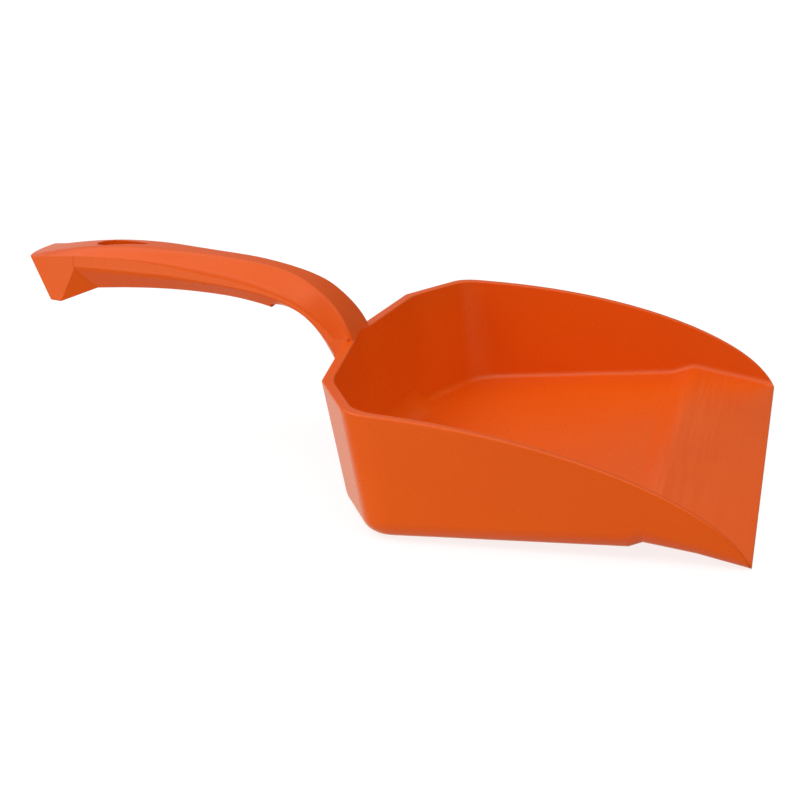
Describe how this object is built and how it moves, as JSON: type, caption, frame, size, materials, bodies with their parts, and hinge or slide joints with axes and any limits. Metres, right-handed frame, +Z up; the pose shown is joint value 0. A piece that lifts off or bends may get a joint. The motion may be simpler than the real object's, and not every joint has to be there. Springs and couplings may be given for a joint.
{
  "type": "hand dustpan scoop",
  "caption": "One-piece moulded hand scoop: drafted open-mouthed pan with a ramped lip, and a curved faceted carrying handle with a hanging hole.",
  "frame": {"origin": "middle of the pan's flat underside, on the plane of symmetry", "axes": "+X out of the mouth towards the lip, the handle points to -X; +Z up out of the pan; the XZ plane is the plane of symmetry"},
  "size_m": [0.3739, 0.2946, 0.1188],
  "materials": {
    "orange_polypropylene": "satin moulded polypropylene, pigmented orange"
  },
  "bodies": {
    "root": {"scoop_moulding": "orange_polypropylene"}
  },
  "joints": []
}
